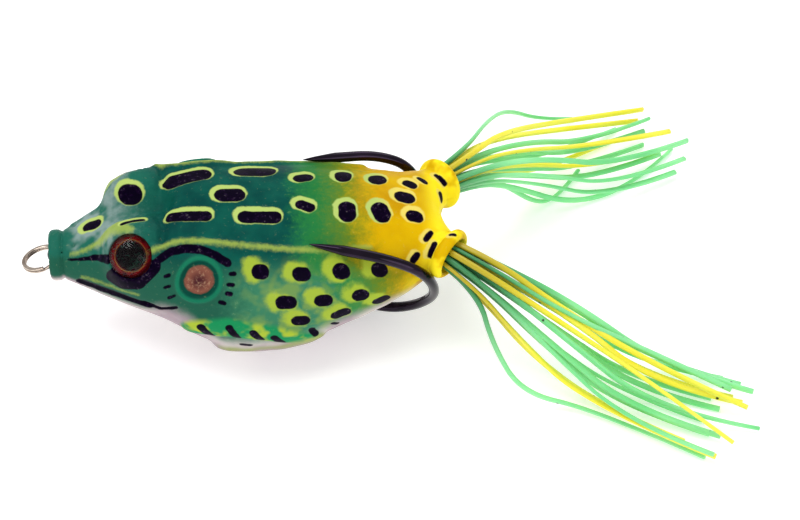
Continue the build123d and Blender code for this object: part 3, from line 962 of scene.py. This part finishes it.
def skinMaterial():
    c = {name: colour(*tone) for name, tone in skinColours.items()}
    paint = Paint(
        "frog_vinyl", Roughness=0.42, IOR=1.45, Specular_IOR_Level=0.03, Subsurface_Weight=0.05,
        Subsurface_Scale=1.0 * mm)
    spray = paint.noise(1700, 3, 0.7)          # fine droplets of the airbrush
    cloud = paint.noise(140, 3, 0.6)           # soft unevenness
    patch = paint.noise(360, 2, 0.5)
    fringe = paint.spread(paint.noise(900, 2), 0.4)
    grain = paint.spread(spray, 0.8)
    rawBehind = paint.attribute("behind")
    around = paint.total(paint.spread(cloud, 0.1), paint.attribute("around"))
    behind = paint.total(rawBehind, paint.spread(patch, 3.0), paint.spread(spray, 5.0))
    # green back, greyer along the snout: the grey is a painted highlight, a patchy sheen on top of the head
    back = paint.layer(c["back"], cloud, 0.35, 0.65, c["backDeep"])
    back = paint.layer(back, behind, 17, 11, c["crown"])
    headHighlightAmount = paint.product(
        paint.step(behind, 14, 8), paint.step(around, 0.32, 0.14), paint.step(rawBehind, 2.4, 4.4),
        paint.step(patch, 0.38, 0.6), 0.75)
    back = paint.mix(headHighlightAmount, back, c["head"])
    pale = paint.product(paint.step(patch, 0.44, 0.6), paint.step(rawBehind, 23, 30), 0.6)
    flank = paint.layer(c["jowl"], behind, 21, 28, c["flank"])
    flank = paint.mix(pale, flank, c["flankPale"])
    tone = paint.layer(back, around, 0.22, 0.34, flank)
    # the rear third: gold above, reached through grass green and olive
    gold = paint.layer(c["gold"], cloud, 0.35, 0.7, c["goldDeep"])
    gold = paint.layer(gold, rawBehind, 49, 52, c["lemon"])
    lowered = paint.math("MULTIPLY_ADD", paint.step(around, 0.26, 0.42), -4.5, behind)
    tone = paint.layer(tone, lowered, 31.0, 35.5, c["grass"], 0.8)
    tone = paint.layer(tone, lowered, 35.0, 40.5, c["olive"])
    tone = paint.layer(tone, lowered, 38.5, 44.5, gold)
    halo = paint.total(paint.spread(patch, 2.8), paint.attribute("halo"), grain)
    tone = paint.layer(tone, halo, 0.95, 0.0, c["lime"], 0.88)
    # pale belly, higher up at the jaw
    belly = paint.layer(c["belly"], cloud, 0.35, 0.65, c["bellyShade"])
    jaw = paint.product(paint.step(rawBehind, 12, 15.5), paint.step(rawBehind, 23, 18))
    lower = paint.math("MULTIPLY_ADD", jaw, 0.08, paint.math("MULTIPLY_ADD", grain, 0.03, around))
    tone = paint.layer(tone, lower, 0.54, 0.66, belly)
    limb = paint.total(paint.spread(patch, 0.6), paint.attribute("limb"))
    armTone = paint.layer(c["armGreen"], patch, 0.5, 0.66, c["lime"])
    armTone = paint.layer(armTone, around, 0.59, 0.64, c["armLow"])
    armTone = paint.layer(armTone, around, 0.64, 0.70, c["bellyShade"])
    tone = paint.layer(tone, limb, 0.45, -0.35, armTone)
    # folds and rims
    fold = paint.total(grain, paint.attribute("fold"))
    tone = paint.layer(tone, fold, 0.5, -0.2, c["foldTone"], 0.78)
    # leg sockets
    sleeve = paint.layer(c["lemon"], patch, 0.45, 0.62, c["gold"])
    tone = paint.layer(tone, paint.attribute("sleeve"), -4.5, -1.5, sleeve)
    rim = paint.total(paint.attribute("rim"), paint.math("MULTIPLY_ADD", grain, 0.3, fringe))
    rimTone = paint.layer(c["rim"], rawBehind, 43, 47, c["tailRim"])
    tone = paint.layer(tone, rim, 0.16, -0.12, rimTone)
    # ear
    ear = paint.attribute("ear")
    tone = paint.layer(tone, ear, 3.4, 2.9, c["earRing"])
    # painted shade: the groove between the ear's ring and its disc is darkened
    tone = paint.layer(tone, ear, 2.7, 2.35, c["earChannelShade"])
    # painted shade: the copper darkens towards the middle of the disc, as in a pit
    disc = paint.layer(c["copperPitShade"], ear, 0.2, 1.7, c["copper"])
    disc = paint.layer(disc, spray, 0.5, 0.7, c["copperGlint"], 0.35)
    tone = paint.layer(tone, paint.total(ear, fringe), 2.1, 1.8, disc)
    # dark spots and lines
    dark = paint.total(paint.attribute("dark"), paint.product(fringe, 0.7))
    ink = paint.layer(c["spot"], spray, 0.5, 0.75, c["spotSheen"])
    tone = paint.layer(tone, dark, 0.1, -0.06, ink)
    # inside the openings
    tone = paint.layer(tone, paint.attribute("inBore"), 2.5, 2.1, c["goldDeep"])
    tone = paint.layer(tone, paint.attribute("inCup"), 2.75, 2.5, c["backDeep"])
    paint.colour(paint.layer(tone, spray, 0.6, 0.8, c["speck"], 0.14))
    paint.roughness(spray, 0.24, 0.26)
    paint.bump(paint.math("MULTIPLY_ADD", cloud, 0.6, spray), 0.3, 0.08)
    return paint.material


frogSkin = makeSkin()
finish(frogSkin, skinMaterial())
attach(frogSkin, "frog")
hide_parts("frog_body")

# ---- eyes: the printed discs and the clear domes over them


def eyeRadius(paint):
    # distance from the eye's axis, the same on both sides
    bump = bodySettings["bumpCentre"]
    centre = tuple(value * mm for value in (bump[0] + noseX, bump[1], bump[2]))
    direction = Vector(bodySettings["eyeDirection"]).normalized()
    parts = paint.node("ShaderNodeSeparateXYZ", None, {"Vector": paint.place})
    oneSide = paint.node("ShaderNodeCombineXYZ", None, {
        "X": parts.outputs[0], "Y": paint.math("ABSOLUTE", parts.outputs[1]), "Z": parts.outputs[2]})
    local = paint.vector("SUBTRACT", oneSide.outputs[0], centre)
    depth = paint.vector("DOT_PRODUCT", local, tuple(direction))
    alongAxis = paint.node(
        "ShaderNodeVectorMath", {"operation": "SCALE"}, {0: tuple(direction), "Scale": depth})
    flat = paint.vector("SUBTRACT", local, alongAxis.outputs[0])
    return paint.math("DIVIDE", paint.vector("LENGTH", flat), mm)


def eyeDiscMaterial():
    paint = Paint("eye_print", Roughness=0.4, Metallic=0.0, Specular_IOR_Level=0.05)
    inner = paint.math("SUBTRACT", eyeRadius(paint), 0.15)
    radius = paint.math("MULTIPLY_ADD", paint.noise(900, 2), 0.3, inner)
    red = paint.layer(colour(150, 24, 30), radius, 2.2, 2.8, colour(70, 12, 20))
    red = paint.layer(red, paint.noise(1300, 3), 0.45, 0.7, colour(84, 14, 24))
    tone = paint.layer(red, radius, 2.12, 2.04, colour(170, 112, 60))
    tone = paint.layer(tone, radius, 1.98, 1.9, colour(62, 12, 24))
    tone = paint.layer(tone, radius, 1.8, 1.66, colour(6, 2, 12))
    paint.colour(tone)
    leafRing = paint.product(paint.step(radius, 1.88, 1.98), paint.step(radius, 2.14, 2.06))
    paint.feed(paint.shader.inputs["Metallic"], leafRing)
    paint.bump(paint.noise(2400, 2), 0.2, 0.03)
    return paint.material


def eyeDomeMaterial():
    paint = Paint("eye_resin", Roughness=0.03, IOR=1.2, Transmission_Weight=1.0, Specular_IOR_Level=0.25)
    paint.colour(paint.mix(paint.noise(60, 1), colour(255, 252, 250), colour(250, 244, 246)))
    paint.roughness(paint.noise(800, 2), 0.03, 0.015)
    return paint.material


eyeDisc = eyeDiscMaterial()
eyeDome = eyeDomeMaterial()
for side in ("left", "right"):
    finish(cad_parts[f"{side}_eye_disc"], eyeDisc)
    finish(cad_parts[f"{side}_eye_dome"], eyeDome)
    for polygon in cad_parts[f"{side}_eye_dome"].data.polygons:
        polygon.use_smooth = True
print("eyes finished")

# ---- hook

hookSettings = {
    "wire": 1.4,
    "corners": 20,
    "loopAt": 1.75,           # middle of the eye behind the nose
    "loopRadius": 1.3,
    "loopWire": 1.1,
    "pointLength": 4.5,
    "tip": 0.03,
    "taper": 0.72,
    "spacing": 0.35,          # between the wire's rings
    "perSpan": 24,
    "loopStations": 64,
    "loopCorners": 18,
}
hookRoute = np.array([
    (-22.9, -0.72, 12.9),
    (-17.3, -0.72, 12.7),
    (10.6, -0.75, 3.7),
    (15.4, -1.3, 2.2),
    (19.4, -3.1, 2.3),
    (23.3, -5.4, 5.2),
    (25.3, -8.2, 10.2),
    (23.4, -10.2, 16.0),
    (18.6, -10.0, 18.7),
    (12.9, -8.9, 19.6),
])


def softLine(points, perSpan):
    # a curve from the middle of each run to the middle of the next, drawn to the corner between them
    middles = (points[:-1] + points[1:]) / 2
    t = np.linspace(0, 1, perSpan, endpoint=False)[None, :, None]
    curve = (
        (1 - t) ** 2 * middles[:-1, None] + 2 * t * (1 - t) * points[1:-1, None] + t ** 2 * middles[1:, None]
    ).reshape(-1, 3)
    return np.concatenate([points[:1], curve, middles[-1:], points[-1:]])


def evenly(line, spacing):
    # the same line with its points evenly spaced
    length = np.concatenate([[0], np.cumsum(np.linalg.norm(np.diff(line, axis=0), axis=1))])
    at = np.linspace(0, length[-1], int(length[-1] / spacing) + 1)
    return np.stack([np.interp(at, length, line[:, k]) for k in range(3)], 1), at


def hookWire(side):
    sizes = hookSettings
    route = hookRoute * (1, -side, 1)
    tip = route[-1] + unit(route[-1] - route[-2]) * sizes["pointLength"]
    line = softLine(np.concatenate([route, [tip]]), sizes["perSpan"])
    line, at = evenly(line, sizes["spacing"])
    toTip = np.clip((at[-1] - at) / sizes["pointLength"], 0, 1)
    radius = np.maximum(sizes["wire"] / 2 * toTip ** sizes["taper"], sizes["tip"])
    _, across, up = frameAlong(line, (0.18, 1.0, 0.1))
    return skin(carried(line, across, up, squareRound(sizes["corners"], 2.0), radius))


def hookLoop():
    # a torus that stands in the lure's middle plane
    sizes = hookSettings
    stations = sizes["loopStations"]
    turn = np.linspace(0, 2 * math.pi, stations, endpoint=False)
    outward = np.stack([np.cos(turn), np.zeros(stations), np.sin(turn)], 1)
    centre = np.array((noseX + sizes["loopAt"], 0, cupHeight))
    across = np.broadcast_to((0.0, 1.0, 0.0), outward.shape)
    path = centre + outward * sizes["loopRadius"]
    radius = sizes["loopWire"] / 2
    outline = squareRound(sizes["loopCorners"], 2.0, radius, radius)
    return skin(carried(path, outward, across, outline, np.ones(stations)), closedPath=True)


blackNickel = plainMaterial(
    "black_nickel", ((24, 14, 30), (42, 28, 48)), (260, 3), (0.3, 0.75),
    ((1800, 3), 0.16, 0.1), ((2600, 2), 0.08, 0.02),
    Roughness=0.16, Metallic=1.0, Coat_Weight=0.3, Coat_Roughness=0.06)
hookPoints, hookFaces = joined([hookWire(1), hookWire(-1), hookLoop()])
hook = makeMesh("hook_wire", hookPoints, hookFaces)
finish(hook, blackNickel)
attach(hook, "frog")
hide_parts("double_hook")
print("hook made")

# ---- line ring

ringSettings = {
    "radius": 2.45,
    "width": 0.55,
    "coilHeight": 0.3,
    "gap": 0.06,
    "droop": 12,
    "roll": 8,
    "pivotAt": 1.55,          # behind the nose
    "turns": 1.93,
    "stations": 220,
    "startTurn": 2.2,
    "stepAt": 0.88,           # where the wire steps up, in turns, and over how long
    "stepLength": 0.16,
    "corners": 16,
    "squareness": 3.4,
}


def ringSurface():
    # flat wire wound nearly twice round; it steps from the lower coil to the upper over a short turn
    sizes = ringSettings
    droop = math.radians(sizes["droop"])
    roll = math.radians(sizes["roll"])
    forward = np.array((-math.cos(droop), 0, -math.sin(droop)))
    up = np.array((-math.sin(droop), 0, math.cos(droop)))
    normal = up * math.cos(roll) + np.array((0, math.sin(roll), 0))
    pivot = np.array((noseX + sizes["pivotAt"], 0, cupHeight))
    centre = pivot + forward * sizes["radius"]
    sideways = unit(np.cross(normal, forward))
    turn = np.linspace(0, sizes["turns"] * 2 * math.pi, sizes["stations"])
    half = (sizes["coilHeight"] + sizes["gap"]) / 2
    step = np.clip((turn / (2 * math.pi) - sizes["stepAt"]) / sizes["stepLength"], 0, 1)
    lift = (step * step * (3 - 2 * step) * 2 - 1) * half
    turn = turn + sizes["startTurn"]
    outward = np.cos(turn)[:, None] * forward + np.sin(turn)[:, None] * sideways
    path = centre + outward * sizes["radius"] + lift[:, None] * normal
    ups = np.broadcast_to(normal, path.shape)
    outline = squareRound(
        sizes["corners"], sizes["squareness"], sizes["width"] / 2, sizes["coilHeight"] / 2)
    return skin(carried(path, outward, ups, outline, np.ones(len(path))))


brightNickel = plainMaterial(
    "bright_nickel", ((206, 192, 178), (160, 144, 132)), (500, 2), (0.35, 0.7),
    ((2200, 3), 0.2, 0.06), ((3000, 2), 0.1, 0.02), Roughness=0.14, Metallic=1.0)
ring = makeMesh("split_ring", *ringSurface())
finish(ring, brightNickel)
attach(ring, "ring")
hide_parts("line_ring")
print("ring made")

# ---- what is inside: the lead and the bands that hold the skirts

castLead = plainMaterial(
    "cast_lead", ((96, 97, 102), (140, 140, 144)), (700, 4, 0.7), None,
    ((700, 4, 0.7), 0.3, 0.4), ((700, 4, 0.7), 0.4, 0.1), Roughness=0.55, Metallic=0.9)
bandRubber = plainMaterial(
    "band_rubber", ((24, 24, 24), (44, 42, 40)), (1400, 3), None,
    ((1400, 3), 0.2, 0.6), ((1400, 3), 0.3, 0.05), Roughness=0.7)
finish(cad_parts["belly_weight"], castLead)
for side in ("left", "right"):
    finish(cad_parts[f"{side}_skirt_band"], bandRubber)
print("weight and bands finished")

# ---- floor and light

stageSettings = {
    "floorSize": 1.6,
    "viewTransform": "Standard",
    "lights": [      # name, place in metres, size, watts
        ("key", (-0.20, 0.02, 0.56), 0.40, 1.9),
        ("fill", (0.30, -0.50, 0.24), 0.45, 0.9),
        ("back", (0.25, 0.42, 0.40), 0.40, 0.6),
    ],
    "aim": (0.02, 0, 0.01),
    "world": 0.62,
}


def makeStage(settings):
    half = settings["floorSize"] / 2 / mm
    corners = np.array([(-half, -half, 0), (half, -half, 0), (half, half, 0), (-half, half, 0)], float)
    floor = makeMesh("floor", corners, [np.array([[0, 1, 2, 3]])])
    paint = Paint("pale_floor", Roughness=0.9, Emission_Strength=0.3, Emission_Color=(1, 1, 1, 1))
    paint.colour(paint.mix(paint.noise(30, 2), colour(250, 250, 250), colour(246, 246, 247)))
    finish(floor, paint.material)
    for name, place, size, watts in settings["lights"]:
        data = bpy.data.lights.new(name, "AREA")
        data.shape = "DISK"
        data.size = size
        data.energy = watts
        light = addObject(name, data)
        light.location = place
        away = Vector(place) - Vector(settings["aim"])
        light.rotation_euler = away.to_track_quat("Z", "Y").to_euler()
    bpy.context.scene.view_settings.view_transform = settings["viewTransform"]
    world = bpy.data.worlds.new("studio")
    bpy.context.scene.world = world
    world.use_nodes = True
    background = world.node_tree.nodes["Background"]
    background.inputs[0].default_value = (1, 1, 1, 1)
    background.inputs[1].default_value = settings["world"]


makeStage(stageSettings)
print("stage made")
